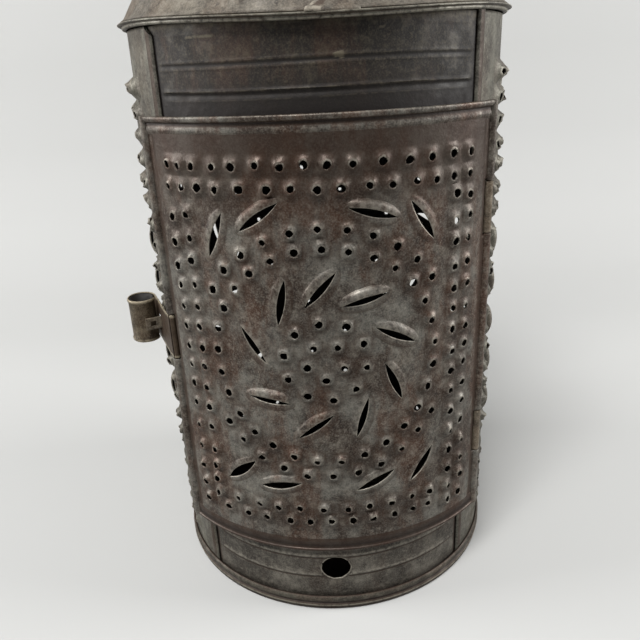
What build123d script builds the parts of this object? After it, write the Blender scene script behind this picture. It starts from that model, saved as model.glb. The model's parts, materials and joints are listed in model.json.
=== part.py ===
"""Punched tin lantern: a round tinplate body with a punched, hinged door, a cone roof and a ring handle.

Millimetres. The origin is the middle of the base, on the surface that the lantern stands on.
+Z is up and the door faces -Y. An azimuth is an angle about +Z, nought at the front and
growing towards +X.
"""

from build123d import *
import math
import os

os.makedirs("parts", exist_ok=True)

# Tinplate and fits
sheet = 0.6
seam_gap = 0.1
wire_radius = 1.0
wire_clearance = 0.08
overrun = 5.0

# Body: one sheet bent from jamb to jamb round the back
body_radius = 73.0
jamb_azimuth = 48.5
hem_width = 4.0
hem_clip = 3.2
hem_end_gap = 2.4

# Base pan
rim_height = 6.5
rim_bead = 1.35

# Front panels behind the jambs
panel_lap_azimuth = 54.5
rib_azimuth = 46.0
rib_height = 2.0
rib_rise = 0.5
upper_panel_lap = 5.9
lower_panel_lap = 4.3
upper_rib_drops = (12.6, 21.6)
upper_lip_drop = 3.6
lower_rib_rises = (16.0, 25.8)
draught_radius = 5.5
draught_height = 20.2

# Door: a sheet of its own, flatter curve, with wires rolled into its upright edges
door_flattening = 9.7
door_stand = 0.6
door_half_angle = 48.5
door_height = 171.3
door_bottom = 31.5
door_headroom = 28.6
door_hem = 4.6
door_bead = 1.7
door_bead_rise = 0.9
roll_radius = 1.75
notch_gap = 0.6
notch_depth = 2.5

# Hinge straps
strap_height = 19.0
upper_strap_drop = 37.8
lower_strap_rise = 37.5
strap_wrap = 0.6
strap_landing_azimuth = 60.5
strap_end_azimuth = 69.0

# Hasp and its staple
hasp_height = 18.5
hasp_rise = 77.5
hasp_reach = 27.0
hasp_heading = 115.0
grip_radius = 5.8
grip_curl = 262.0
slot_along = 18.5
slot_length = 6.0
slot_height = 6.6
staple_height = 5.0
staple_thickness = 1.2
staple_proud = 6.0
staple_eye = 2.4

# Punch work
punch_size = 2.1
punch_reach = 1.6
slit_length = 17.4
slit_width = 2.0
lip_rise = 1.6
lip_reach = 2.9
lip_sink = 0.55
lip_taper = 23.0
border_margin = 13.1
border_step = 7.0
border_pitch = 8.3
ring_step = 7.0
outer_ring_count = 32
inner_ring_count = 29
cluster_radius = 15.2
cluster_count = 10
heart_radius = 7.2
heart_count = 5
pinwheel_radius = 27.7
pinwheel_lean = 45.0
pinwheel_azimuths = (123, 92, 57, 17, -23, -62, -100, -144, 167)
corner_slit_shares = (
    (-0.78, 0.74, 67), (-0.44, 0.85, 34), (0.34, 0.85, -15), (0.71, 0.78, -56),
    (-0.76, -0.78, 39), (-0.42, -0.85, 10), (0.33, -0.83, 25), (0.73, -0.78, 53),
)
body_medallion_azimuths = (118.0, -118.0)

# Roof
eave_proud = 3.5
eave_height = 4.0
eave_lap = 1.4
roof_lap = 1.6
roof_rise = 120.0
roof_top_radius = 12.0
roof_vent_count = 6
roof_vent_share = 0.74
cap_skirt = 4.0

# Ring handle and its saddle
ring_radius = 37.0
ring_width = 16.0
ring_thickness = 0.9
saddle_length = 8.0

# Candle fittings
drip_pan_height = 6.0
drip_pan_foot_radius = 26.0
drip_pan_sides = 8
drip_pan_flare = 35.0
socket_bore_radius = 11.2
socket_height = 34.0

# Worked out from the sizes above
floor_top = sheet
body_inner = body_radius - sheet
door_top = door_bottom + door_height
body_top = door_top + door_headroom
wall_height = body_top - floor_top
upper_panel_depth = door_headroom + upper_panel_lap
lower_panel_height = door_bottom - floor_top + lower_panel_lap
body_sweep = 360 - 2 * jamb_azimuth
hem_angle = math.degrees(hem_width / body_radius)
panel_radius = body_inner - seam_gap
rim_radius = body_radius + seam_gap + rim_bead
upper_panel_bottom = body_top - upper_panel_depth
door_radius = body_radius + door_flattening
door_front = body_radius + door_stand
door_middle = (door_bottom + door_top) / 2
door_centre = Vector(0, door_radius - door_front)
door_arc_half = math.radians(door_half_angle) * door_radius
wire_path_radius = door_radius - sheet / 2
wire_x = wire_path_radius * math.sin(math.radians(door_half_angle))
wire_y = door_centre.Y - wire_path_radius * math.cos(math.radians(door_half_angle))
hinge_wire_spot = Vector(wire_x, wire_y)
latch_wire_spot = Vector(-wire_x, wire_y)
loop_inner = wire_radius + wire_clearance
loop_outer = loop_inner + strap_wrap
notch_height = strap_height + 2 * notch_gap
upper_strap_middle = door_top - upper_strap_drop
lower_strap_middle = door_bottom + lower_strap_rise
hasp_middle = door_bottom + hasp_rise + hasp_height / 2
hasp_notch_height = hasp_height + 2 * notch_gap
border_half = door_arc_half - border_margin
border_half_height = door_height / 2 - border_margin - (door_hem - sheet) / 2
ring_outer = border_half - border_step - sheet
ring_inner = ring_outer - ring_step
eave_radius = body_radius + eave_proud
roof_base_radius = body_radius + roof_lap
eave_bottom = body_top - eave_lap
eave_top = eave_bottom + eave_height
roof_half_angle = math.atan(roof_base_radius / roof_rise)
roof_wall = sheet / math.cos(roof_half_angle)
roof_top = eave_top + roof_rise * (1 - roof_top_radius / roof_base_radius)
cap_top = roof_top + seam_gap + sheet
ring_middle = cap_top + ring_radius
ring_inside = ring_radius - ring_thickness


def upright_plane(azimuth, centre=Vector(0, 0)):
    """A plane through the upright axis at the centre: x runs outwards at the azimuth, y is up."""
    turn = math.radians(azimuth)
    out = Vector(math.sin(turn), -math.cos(turn))
    return Plane(origin=centre, x_dir=out, z_dir=out.cross(Vector(0, 0, 1)))


def wall_plane(radius, arc, height, lean=0.0, centre=Vector(0, 0)):
    """A plane lying on a round wall, at an arc length from its front line and at a height."""
    turn = arc / radius
    out = Vector(math.sin(turn), -math.cos(turn))
    along = Vector(math.cos(turn), math.sin(turn))
    tilt = math.radians(lean)
    x_dir = along * math.cos(tilt) + Vector(0, 0, 1) * math.sin(tilt)
    return Plane(origin=centre + out * radius + Vector(0, 0, height), x_dir=x_dir, z_dir=out)


def wall_outline(inner, outer, first, last, centre=Vector(0, 0)):
    """The plan of a bent sheet between two radii and two azimuths, drawn in the open sketch."""
    with BuildLine() as edges:
        inside = CenterArc(centre, inner, first - 90, last - first)
        outside = CenterArc(centre, outer, first - 90, last - first)
        Line(inside @ 0, outside @ 0)
        Line(inside @ 1, outside @ 1)
    make_face(edges.edges())


def rib_outline(radius, height, middle):
    """The section of a swaged rib on a wall of that radius, drawn in the open sketch."""
    with BuildLine() as edges:
        Polyline(
            (radius - sheet / 2, middle - height / 2),
            (radius, middle - height / 2),
            (radius + rib_rise, middle),
            (radius, middle + height / 2),
            (radius - sheet / 2, middle + height / 2),
            close=True,
        )
    make_face(edges.edges())


def ring_spots(radius, count, limit=None):
    """Evenly spaced places on a circle, as arc and height offsets, kept inside an arc limit."""
    spots = []
    for index in range(count):
        turn = 2 * math.pi * (index + 0.5) / count
        across, up = radius * math.cos(turn), radius * math.sin(turn)
        if limit is None or abs(across) < limit:
            spots.append((across, up))
    return spots


def border_spots(half_width, half_height):
    """Places round a rectangle at about the border pitch, as arc and height offsets."""
    across_count = round(2 * half_width / border_pitch)
    up_count = round(2 * half_height / border_pitch)
    spots = []
    for index in range(across_count + 1):
        across = -half_width + 2 * half_width * index / across_count
        spots += [(across, -half_height), (across, half_height)]
    for index in range(1, up_count):
        up = -half_height + 2 * half_height * index / up_count
        spots += [(-half_width, up), (half_width, up)]
    return spots


def pinwheel_slits():
    """The nine leaning slits of the pinwheel, as arc and height offsets and a lean, lips upward."""
    slits = []
    for azimuth in pinwheel_azimuths:
        turn = math.radians(azimuth)
        spot = (pinwheel_radius * math.cos(turn), pinwheel_radius * math.sin(turn))
        slits.append((*spot, (azimuth - pinwheel_lean + 90) % 180 - 90))
    return slits


def corner_slits(half_width, half_height):
    """Two slits in each corner, between the rings and the border."""
    return [(half_width * a, half_height * b, lean) for a, b, lean in corner_slit_shares]


# The cut of one chisel blow, which every slit repeats
with BuildPart() as slit_cut:
    with BuildSketch():
        with BuildLine():
            Polyline(
                (-slit_length / 2, 0),
                (0, -slit_width / 2),
                (slit_length / 2, 0),
                (0, slit_width / 2),
                close=True,
            )
        make_face()
    extrude(amount=punch_reach, both=True)

# The lip that the chisel raises on the upper side of its cut, a low hip sunk into the sheet
with BuildPart() as slit_lip:
    with BuildSketch(Plane.XY.offset(-lip_sink)):
        with BuildLine():
            Polyline((-slit_length / 2, 0), (slit_length / 2, 0), (0, lip_reach), close=True)
        make_face()
    extrude(amount=lip_sink + lip_rise, taper=lip_taper)


def punch_holes(radius, centre, holes):
    """Punch square holes through the open part's wall, at arcs from its front and heights."""
    with Locations(*[wall_plane(radius, arc, height, 0, centre) for arc, height in holes]):
        Box(punch_size, punch_size, 2 * punch_reach, mode=Mode.SUBTRACT)


def punch_slits(radius, centre, slits):
    """Raise the lips of leaning slits on the open part's wall and cut them through."""
    with Locations(*[wall_plane(radius, arc, height, lean, centre) for arc, height, lean in slits]):
        add(slit_lip.part)
        add(slit_cut.part, mode=Mode.SUBTRACT)


# Base pan: a flat floor and an upright folded rim outside the body
with BuildPart() as base_pan:
    with BuildSketch(upright_plane(0)):
        with BuildLine():
            Polyline(
                (0, 0),
                (rim_radius, 0),
                (rim_radius, rim_height),
                (body_radius + seam_gap, rim_height),
                (body_radius + seam_gap, floor_top),
                (0, floor_top),
                close=True,
            )
        make_face()
    revolve(axis=Axis.Z)

# Body shell: the punched wall with its folded jamb edges, their top corners clipped
with BuildPart() as body_shell:
    with BuildSketch(Plane.XY.offset(floor_top)):
        wall_outline(body_inner, body_radius, jamb_azimuth, jamb_azimuth + body_sweep)
    extrude(amount=wall_height)
    for side in (1, -1):
        first = min(side * jamb_azimuth, side * (jamb_azimuth + hem_angle))
        with BuildSketch(Plane.XY.offset(rim_height + hem_end_gap)):
            wall_outline(body_radius - sheet / 2, body_radius + sheet, first, first + hem_angle)
        extrude(amount=eave_bottom - rim_height - 2 * hem_end_gap)
        clip_arc = side * math.radians(jamb_azimuth) * body_radius
        with BuildSketch(wall_plane(body_radius, clip_arc, eave_bottom - hem_end_gap, 45)):
            Rectangle(hem_clip, hem_clip)
        extrude(amount=hem_clip, both=True, mode=Mode.SUBTRACT)
    body_slits = []
    for azimuth in body_medallion_azimuths:
        middle = math.radians(azimuth) * body_radius
        body_slits += [(middle + arc, door_middle + up, lean) for arc, up, lean in pinwheel_slits()]
    punch_slits(body_radius, Vector(0, 0), body_slits)

# Front panels: soldered behind the jambs, stiffened with swaged ribs
with BuildPart() as upper_front_panel:
    with BuildSketch(Plane.XY.offset(upper_panel_bottom)):
        wall_outline(panel_radius - sheet, panel_radius, -panel_lap_azimuth, panel_lap_azimuth)
    extrude(amount=upper_panel_depth)
    for drop in (upper_lip_drop, *upper_rib_drops):
        with BuildSketch(upright_plane(-rib_azimuth)):
            rib_outline(panel_radius, rib_height, body_top - drop)
        revolve(axis=Axis.Z, revolution_arc=2 * rib_azimuth)

with BuildPart() as lower_front_panel:
    with BuildSketch(Plane.XY.offset(floor_top)):
        wall_outline(panel_radius - sheet, panel_radius, -panel_lap_azimuth, panel_lap_azimuth)
    extrude(amount=lower_panel_height)
    for rise in lower_rib_rises:
        with BuildSketch(upright_plane(-rib_azimuth)):
            rib_outline(panel_radius, rib_height, floor_top + rise)
        revolve(axis=Axis.Z, revolution_arc=2 * rib_azimuth)
    with BuildSketch(wall_plane(body_radius, 0, floor_top + draught_height)):
        Circle(draught_radius)
    extrude(amount=overrun, both=True, mode=Mode.SUBTRACT)

# Eave band: the rolled seam between wall and roof
with BuildPart() as eave_band:
    with BuildSketch(upright_plane(0)):
        with BuildLine():
            Polyline(
                (body_radius + seam_gap, eave_bottom),
                (eave_radius, (eave_bottom + eave_top) / 2),
                (body_radius + seam_gap, eave_top),
                close=True,
            )
        make_face()
    revolve(axis=Axis.Z)

# Roof: a cone cut off below its point, with a ring of vent punches
with BuildPart() as roof_cone:
    with BuildSketch(upright_plane(0)):
        with BuildLine():
            Polyline(
                (roof_base_radius - roof_wall, eave_top),
                (roof_base_radius, eave_top),
                (roof_top_radius, roof_top),
                (roof_top_radius - roof_wall, roof_top),
                close=True,
            )
        make_face()
    revolve(axis=Axis.Z)
    vent_radius = roof_base_radius + (roof_top_radius - roof_base_radius) * roof_vent_share
    vent_height = eave_top + (roof_top - eave_top) * roof_vent_share
    vents = []
    for index in range(roof_vent_count):
        turn = 2 * math.pi * (index + 0.5) / roof_vent_count
        out = Vector(math.sin(turn), -math.cos(turn))
        spot = out * vent_radius + Vector(0, 0, vent_height)
        normal = out * math.cos(roof_half_angle) + Vector(0, 0, math.sin(roof_half_angle))
        vents.append(Plane(origin=spot, x_dir=Vector(math.cos(turn), math.sin(turn)), z_dir=normal))
    with Locations(*vents):
        Box(punch_size, punch_size, 2 * punch_reach, mode=Mode.SUBTRACT)

# Roof cap: a small inverted cup over the top of the cone
with BuildPart() as roof_cap:
    cap_inner = roof_top_radius + cap_skirt * math.tan(roof_half_angle)
    with BuildSketch(upright_plane(0)):
        with BuildLine():
            Polyline(
                (0, roof_top + seam_gap),
                (cap_inner, roof_top + seam_gap),
                (cap_inner, roof_top + seam_gap - cap_skirt),
                (cap_inner + sheet, roof_top + seam_gap - cap_skirt),
                (cap_inner + sheet, cap_top),
                (0, cap_top),
                close=True,
            )
        make_face()
    revolve(axis=Axis.Z)

# Ring handle: a wide strap bent to a ring, standing on the cap
with BuildPart() as ring_handle:
    with BuildSketch(Plane.XY):
        with BuildLine():
            Polyline(
                (ring_inside, -ring_width / 2),
                (ring_radius, -ring_width / 2),
                (ring_radius, ring_width / 2),
                (ring_inside, ring_width / 2),
                close=True,
            )
        make_face()
    revolve(axis=Axis.Y)
ring_handle.part = Location((0, 0, ring_middle)) * ring_handle.part

# Ring saddle: a strap bent over the foot of the ring, its legs soldered to the cap
with BuildPart() as ring_saddle:
    with BuildSketch(Plane.YZ):
        with BuildLine():
            leg = ring_width / 2 + seam_gap
            bridge = cap_top + ring_thickness + saddle_length**2 / (8 * ring_inside) + seam_gap
            Polyline(
                (leg, cap_top),
                (leg + sheet, cap_top),
                (leg + sheet, bridge + sheet),
                (-leg - sheet, bridge + sheet),
                (-leg - sheet, cap_top),
                (-leg, cap_top),
                (-leg, bridge),
                (leg, bridge),
                close=True,
            )
        make_face()
    extrude(amount=saddle_length / 2, both=True)

# Door: the punched sheet, with a hem across its top and bottom, rolled round a wire at each side
with BuildPart() as door_panel:
    with BuildSketch(Plane.XY.offset(door_bottom)):
        wall_outline(door_radius - sheet, door_radius, -door_half_angle, door_half_angle, door_centre)
    extrude(amount=door_height)
    for edge_height, inwards in ((door_bottom, 1), (door_top, -1)):
        with BuildSketch(upright_plane(-door_half_angle, door_centre)):
            with BuildLine():
                Polyline(
                    (door_radius - sheet / 2, edge_height),
                    (door_radius + door_bead_rise, edge_height),
                    (door_radius + door_bead_rise, edge_height + inwards * door_bead),
                    (door_radius - sheet / 2, edge_height + inwards * door_hem),
                    close=True,
                )
            make_face()
        revolve(axis=Axis(door_centre, (0, 0, 1)), revolution_arc=2 * door_half_angle)
    for spot in (hinge_wire_spot, latch_wire_spot):
        with BuildSketch(Plane.XY.offset(door_bottom)):
            with Locations(spot):
                Circle(roll_radius)
        extrude(amount=door_height)
        with BuildSketch(Plane.XY.offset(door_bottom)):
            with Locations(spot):
                Circle(wire_radius)
        extrude(amount=door_height, mode=Mode.SUBTRACT)
    notches = (
        (hinge_wire_spot, upper_strap_middle, notch_height),
        (hinge_wire_spot, lower_strap_middle, notch_height),
        (latch_wire_spot, hasp_middle, hasp_notch_height),
    )
    for spot, middle, tall in notches:
        with BuildSketch(Plane.XY.offset(middle - tall / 2)):
            with Locations(spot):
                Circle(notch_depth)
        extrude(amount=tall, mode=Mode.SUBTRACT)
    spots = border_spots(border_half, border_half_height)
    spots += ring_spots(ring_outer, outer_ring_count, border_half - 2 * border_step)
    spots += ring_spots(ring_inner, inner_ring_count)
    spots += ring_spots(cluster_radius, cluster_count) + ring_spots(heart_radius, heart_count)
    door_holes = [(arc, door_middle + up) for arc, up in spots]
    slits = pinwheel_slits() + corner_slits(border_half - border_step, border_half_height - border_step)
    door_slits = [(arc, door_middle + up, lean) for arc, up, lean in slits]
    punch_holes(door_radius, door_centre, door_holes)
    punch_slits(door_radius, door_centre, door_slits)


def door_wire(spot):
    """The plan of a door wire, drawn and raised in the open part."""
    with BuildSketch(Plane.XY.offset(door_bottom)) as plan:
        with Locations(spot):
            Circle(wire_radius)
    extrude(plan.sketch, amount=door_height)


with BuildPart() as door_hinge_wire:
    door_wire(hinge_wire_spot)

with BuildPart() as door_latch_wire:
    door_wire(latch_wire_spot)


def hinge_strap(middle):
    """A strap looped round the hinge wire, its tail soldered along the body, in the open part."""
    landing = upright_plane(strap_landing_azimuth).x_dir * (body_radius + strap_wrap / 2)
    away = (hinge_wire_spot - landing).normalized()
    side = Vector(-away.Y, away.X) * (strap_wrap / 2)
    neck_start = hinge_wire_spot - away * (loop_inner + strap_wrap / 2)
    with BuildSketch(Plane.XY.offset(middle - strap_height / 2)) as plan:
        wall_outline(body_radius, body_radius + strap_wrap, strap_landing_azimuth, strap_end_azimuth)
        with BuildLine() as neck:
            Polyline(landing + side, neck_start + side, neck_start - side, landing - side, close=True)
        make_face(neck.edges())
        with Locations(hinge_wire_spot):
            Circle(loop_outer)
        with Locations(hinge_wire_spot):
            Circle(loop_inner, mode=Mode.SUBTRACT)
        Circle(body_radius, mode=Mode.SUBTRACT)
    extrude(plan.sketch, amount=strap_height)


with BuildPart() as hinge_strap_upper:
    hinge_strap(upper_strap_middle)

with BuildPart() as hinge_strap_lower:
    hinge_strap(lower_strap_middle)

# Hasp: a strap looped round the latch wire, slotted for the staple, its end rolled outward
heading = Vector(math.cos(math.radians(hasp_heading)), math.sin(math.radians(hasp_heading)))
outward = Vector(-heading.Y, heading.X)
hasp_plane = Plane(origin=latch_wire_spot, x_dir=heading, z_dir=(0, 0, 1))
with BuildPart() as hasp:
    with BuildSketch(hasp_plane.offset(hasp_middle - hasp_height / 2)):
        Circle(loop_outer)
        with Locations((hasp_reach / 2, (loop_inner + loop_outer) / 2)):
            Rectangle(hasp_reach, strap_wrap)
        with BuildLine():
            grip_middle = Vector(hasp_reach, loop_inner + grip_radius)
            outer_curl = CenterArc(grip_middle, grip_radius, -90, grip_curl)
            inner_curl = CenterArc(grip_middle, grip_radius - strap_wrap, -90, grip_curl)
            Line(outer_curl @ 0, inner_curl @ 0)
            Line(outer_curl @ 1, inner_curl @ 1)
        make_face()
        Circle(loop_inner, mode=Mode.SUBTRACT)
    extrude(amount=hasp_height)
    slot_spot = Vector(slot_along, loop_inner)
    with BuildSketch(hasp_plane.offset(hasp_middle - slot_height / 2)):
        with Locations(slot_spot):
            Rectangle(slot_length, 2 * punch_reach)
    extrude(amount=slot_height, mode=Mode.SUBTRACT)

# Hasp staple: a tin loop standing out of the body through the slot, with an eye for a peg
with BuildPart() as hasp_staple:
    with BuildSketch(hasp_plane.offset(hasp_middle - staple_height / 2)):
        with Locations((slot_along, 0)):
            Rectangle(staple_thickness, 2 * (loop_outer + staple_proud))
        with Locations(hasp_plane.to_local_coords(Vector(0, 0))):
            Circle(body_radius, mode=Mode.SUBTRACT)
    extrude(amount=staple_height)
    eye_spot = latch_wire_spot + heading * slot_along + outward * (loop_outer + staple_proud / 2)
    eye_plane = Plane(origin=eye_spot + Vector(0, 0, hasp_middle), x_dir=outward, z_dir=heading)
    with Locations(eye_plane):
        Box(staple_eye, staple_eye, 2 * staple_thickness, mode=Mode.SUBTRACT)

# Drip pan: an eight-sided tray with folded sides, resting on the base floor
with BuildPart() as drip_pan:
    for height, mode in ((floor_top, Mode.ADD), (floor_top + sheet, Mode.SUBTRACT)):
        with BuildSketch(Plane.XY.offset(height)):
            RegularPolygon(drip_pan_foot_radius - (height - floor_top), drip_pan_sides)
        extrude(amount=drip_pan_height, taper=-drip_pan_flare, mode=mode)

# Candle socket: a tin tube soldered to the drip pan
with BuildPart() as candle_socket:
    with BuildSketch(Plane.XY.offset(floor_top + sheet)):
        Circle(socket_bore_radius + sheet)
        Circle(socket_bore_radius, mode=Mode.SUBTRACT)
    extrude(amount=socket_height)

pieces = {
    "base_pan": base_pan,
    "body_shell": body_shell,
    "upper_front_panel": upper_front_panel,
    "lower_front_panel": lower_front_panel,
    "eave_band": eave_band,
    "roof_cone": roof_cone,
    "roof_cap": roof_cap,
    "ring_handle": ring_handle,
    "ring_saddle": ring_saddle,
    "door_panel": door_panel,
    "door_hinge_wire": door_hinge_wire,
    "door_latch_wire": door_latch_wire,
    "hinge_strap_upper": hinge_strap_upper,
    "hinge_strap_lower": hinge_strap_lower,
    "hasp": hasp,
    "hasp_staple": hasp_staple,
    "drip_pan": drip_pan,
    "candle_socket": candle_socket,
}
for name, piece in pieces.items():
    piece.part.label = name
    export_step(piece.part, f"parts/{name}.step")
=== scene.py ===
import json
import math
import random

import bmesh
import bpy
from bmesh.types import BMEdge, BMFace, BMVert
from mathutils import Matrix, Vector
from mathutils.kdtree import KDTree


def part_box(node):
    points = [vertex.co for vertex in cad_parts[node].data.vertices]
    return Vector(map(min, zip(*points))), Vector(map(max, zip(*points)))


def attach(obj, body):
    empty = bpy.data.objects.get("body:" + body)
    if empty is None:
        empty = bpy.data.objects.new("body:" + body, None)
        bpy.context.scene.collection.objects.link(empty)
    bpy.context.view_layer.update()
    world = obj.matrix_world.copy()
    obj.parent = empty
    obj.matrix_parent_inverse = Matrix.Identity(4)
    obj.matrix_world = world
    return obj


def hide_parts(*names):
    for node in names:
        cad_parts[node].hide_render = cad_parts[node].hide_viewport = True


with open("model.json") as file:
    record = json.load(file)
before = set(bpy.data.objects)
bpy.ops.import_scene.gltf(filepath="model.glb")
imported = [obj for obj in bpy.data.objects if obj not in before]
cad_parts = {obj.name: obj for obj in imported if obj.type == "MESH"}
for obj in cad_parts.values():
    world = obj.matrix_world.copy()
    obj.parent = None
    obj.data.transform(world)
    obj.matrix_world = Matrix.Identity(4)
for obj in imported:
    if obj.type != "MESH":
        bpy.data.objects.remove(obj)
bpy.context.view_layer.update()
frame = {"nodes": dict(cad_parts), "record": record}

MM = 0.001


def heights(node):
    """The lowest and the highest height of a frame node, in millimetres."""
    return [round(corner[2] / MM, 3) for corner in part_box(node)]


# Sizes in millimetres. The solids' heights and the wires' place are read from the frame, radii repeat theirs
SHEET = 0.5
BODY_RADIUS = 73.0
BODY_FOOT, BODY_TOP = heights("body_shell")
BODY_ARC = math.radians(1) * BODY_RADIUS  # length of one degree of the wall
JAMB = 48.5  # degrees from the front to the wall's edges
DOOR_RADIUS = 82.7
DOOR_MIDDLE = (0.0, 9.1)
DOOR_HALF = 48.5  # degrees from the door's middle to its edges
DOOR_ARC = math.radians(DOOR_HALF) * DOOR_RADIUS
DOOR_LOW, DOOR_HIGH = heights("door_panel")
JOINTS = {joint["name"]: joint["pos_m"] for joint in frame["record"]["behaviour"]["joints"]}
WIRE = [round(place / MM, 3) for place in JOINTS["door_hinge"][:2]]  # hinge wire; the latch wire mirrors it
PANEL_RADIUS = 72.3
UPPER_LOW = heights("upper_front_panel")[0]
LOWER_HIGH = heights("lower_front_panel")[1]
EAVE_TOP = heights("eave_band")[1]
ROOF_BASE = 74.6
ROOF_NARROW = 12.0
ROOF_TOP = heights("roof_cone")[1]
CAP_TOP = heights("roof_cap")[1]
RING_MIDDLE = sum(heights("ring_handle")) / 2
HASP_LOW = heights("hasp")[0]


# Materials

def linear(code):
    """A linear colour from an sRGB hex value."""
    parts = [int(code[i:i + 2], 16) / 255 for i in (0, 2, 4)]
    return [c / 12.92 if c <= 0.04045 else ((c + 0.055) / 1.055) ** 2.4 for c in parts] + [1.0]


def add(tree, kind, settings=None, links=None):
    """Add a node with its settings and its links."""
    node = tree.nodes.new(kind)
    for key, value in (settings or {}).items():
        if isinstance(key, int) or key in node.inputs:
            node.inputs[key].default_value = value
        else:
            setattr(node, key, value)
    for key, source in (links or {}).items():
        tree.links.new(source, node.inputs[key])
    return node


def aged_tin(name, dark, middle, pale, rust, rust_share, rough, metallic, seed, dirt="3c2a1e"):
    """Tinplate gone dull: patches of oxide, mottling, brown stains, grime in hollows and worn edges; the
    grime and wear marks also carry painted shade and painted highlights.
    """
    material = bpy.data.materials.new(name)
    material.use_nodes = True
    tree = material.node_tree
    shader = tree.nodes["Principled BSDF"]
    place = add(tree, "ShaderNodeTexCoord").outputs["Object"]
    shift = (seed, 2 * seed, -seed)
    place = add(tree, "ShaderNodeMapping", {"Location": shift}, {"Vector": place}).outputs[0]
    tall = add(tree, "ShaderNodeMapping", {"Scale": (1, 1, 0.35)}, {"Vector": place}).outputs[0]
    noises = {}
    # Sizes in millimetres; the grain is drawn as coarse as it needs to be to show in the render
    for what, size, detail, roughness, vector in (
            ("patches", 19, 6, 0.62, place), ("stains", 17, 6, 0.68, tall), ("clouds", 6, 4, 0.6, place),
            ("mottle", 1.7, 4, 0.62, place), ("grain", 0.6, 3, 0.6, place), ("streaks", 5, 4, 0.6, tall)):
        settings = {"Scale": 1 / (size * MM), "Detail": detail, "Roughness": roughness}
        noises[what] = add(tree, "ShaderNodeTexNoise", settings, {"Vector": vector}).outputs["Fac"]
    for what in ("grime_and_shade", "wear_and_highlight"):
        noises[what] = add(tree, "ShaderNodeAttribute", {"attribute_name": what}).outputs["Fac"]
    rubbed = add(tree, "ShaderNodeMapRange", {"From Min": 0.3, "From Max": 0.55, "To Min": 0.45},
                 {"Value": noises["mottle"]})
    noises["worn_and_lit"] = add(tree, "ShaderNodeMath", {"operation": "MULTIPLY"},
                         {0: noises["wear_and_highlight"], 1: rubbed.outputs["Result"]}).outputs[0]
    base = add(tree, "ShaderNodeRGB")
    base.outputs[0].default_value = linear(dark)
    colour = base.outputs[0]
    # Each coat: what it follows, where that starts and ends, the greatest share of the tint, and the tint
    for what, low, high, share, tint in (
            ("patches", 0.41, 0.6, 1.0, middle), ("stains", 0.47, 0.62, rust_share, rust),
            ("streaks", 0.5, 0.75, 0.3, middle),
            ("clouds", 0.5, 0.72, 0.3, pale), ("clouds", 0.48, 0.3, 0.55, "1f1815"),
            ("mottle", 0.5, 0.8, 0.38, pale), ("mottle", 0.48, 0.28, 0.55, "1c1613"),
            ("grain", 0.42, 0.75, 0.3, pale), ("grain", 0.5, 0.25, 0.35, "1c1613"),
            ("grime_and_shade", 0.0, 0.6, 0.75, dirt), ("grime_and_shade", 0.45, 1.0, 0.85, "1a1310"),
            ("worn_and_lit", 0.25, 0.95, 0.9, pale)):
        amount = add(tree, "ShaderNodeMapRange",
                     {"interpolation_type": "SMOOTHSTEP", "From Min": low, "From Max": high, "To Max": share},
                     {"Value": noises[what]})
        colour = add(tree, "ShaderNodeMix", {"data_type": "RGBA", 7: linear(tint)},
                     {0: amount.outputs["Result"], 6: colour}).outputs[2]
    tree.links.new(colour, shader.inputs["Base Color"])
    gloss = add(tree, "ShaderNodeMapRange",
                {"From Min": 0.3, "From Max": 0.7, "To Min": rough + 0.14, "To Max": rough - 0.1},
                {"Value": noises["clouds"]})
    tree.links.new(gloss.outputs["Result"], shader.inputs["Roughness"])
    shader.inputs["Metallic"].default_value = metallic
    normal = {}
    for what, strength, depth in (("clouds", 0.5, 0.45), ("mottle", 0.6, 0.14), ("grain", 0.4, 0.05)):
        bump = add(tree, "ShaderNodeBump", {"Strength": strength, "Distance": depth * MM},
                   {"Height": noises[what], **normal})
        normal = {"Normal": bump.outputs[0]}
    tree.links.new(normal["Normal"], shader.inputs["Normal"])
    return material


# Dark pewter-brown door sheet: brown stains over olive grey, pale on the rims of the burrs
door_tin = aged_tin("Aged tinplate, rust-stained", "3c3028", "6c6962", "aaa396", "4f3323",
                    rust_share=0.8, rough=0.46, metallic=0.45, seed=0.0)
# Olive-grey wall and eave, cleaner and paler than the door
wall_tin = aged_tin("Aged tinplate, olive grey", "4b473f", "6a675c", "a09b8e", "54473a",
                    rust_share=0.5, rough=0.5, metallic=0.45, seed=0.31)
# Nearly black sheet in the recess above the door, its dark tone partly painted shade of the recess under the
# eave, with thin ribs painted pale as highlights
recess_shaded_tin = aged_tin("Darkened tinplate, painted recess shade", "16110d", "231c17", "625a4a", "38251a",
                     rust_share=0.8, rough=0.62, metallic=0.25, seed=0.72, dirt="15100d")
# The sheet below the door, grey-brown and dusty
lower_tin = aged_tin("Aged tinplate, dusty", "3d3832", "605b53", "979184", "46382e",
                     rust_share=0.5, rough=0.5, metallic=0.4, seed=0.93)
# The base pan, a warmer dark grey
base_tin = aged_tin("Aged tinplate, dull grey", "37322a", "504c42", "8d8678", "46352a",
                    rust_share=0.5, rough=0.52, metallic=0.4, seed=1.13)
# Pale, rubbed sheet of the roof, its cap, the ring and its saddle
roof_tin = aged_tin("Worn tinplate, pale", "554f46", "6d665a", "989082", "5c4b3b",
                    rust_share=0.45, rough=0.64, metallic=0.25, seed=1.57)
# Straps and staple, a soft brown-grey
strap_tin = aged_tin("Aged tinplate, strap", "5f5547", "7d7262", "b5ab9a", "5e4a36",
                     rust_share=0.5, rough=0.5, metallic=0.4, seed=2.05)
# The hasp, browned by hands
hasp_tin = aged_tin("Aged tinplate, handled", "42392c", "5f5545", "9a8f7a", "4a3826",
                    rust_share=0.6, rough=0.46, metallic=0.45, seed=2.3)
# Smoked inner face, dull with soot and darkened further as painted shade of the interior and the holes
smoked_shaded_tin = aged_tin("Smoked tinplate, painted inner shade", "14110f", "221d1a", "38312b", "2a1e17",
                      rust_share=0.4, rough=0.62, metallic=0.3, seed=2.6)
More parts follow.
